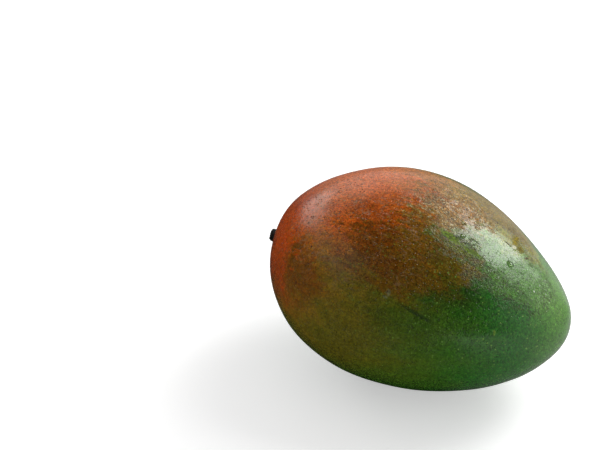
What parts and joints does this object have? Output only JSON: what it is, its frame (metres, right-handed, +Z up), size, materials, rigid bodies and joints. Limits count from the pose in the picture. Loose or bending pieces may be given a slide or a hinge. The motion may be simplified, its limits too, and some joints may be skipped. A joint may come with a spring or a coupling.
{
  "type": "mango",
  "caption": "Ripe red-blushed green mango lying on its cheek, ovate, with a blunt apex and a short woody stem stub, resting on a small flat spot.",
  "frame": {"origin": "on the surface that the mango lies on, under the middle of its bounding box", "axes": "+X along the fruit from the stem end to the apex, +Y across its shoulders, +Z up from the surface"},
  "size_m": [0.1306, 0.094, 0.0822],
  "materials": {
    "skin": "waxy smooth fruit skin, green with a brown-red blush at the stem end, damp with fine mist",
    "stem": "dark dried woody stem, matte"
  },
  "bodies": {
    "root": {"mango_fruit": "skin", "stem_stub": "stem"}
  },
  "joints": []
}
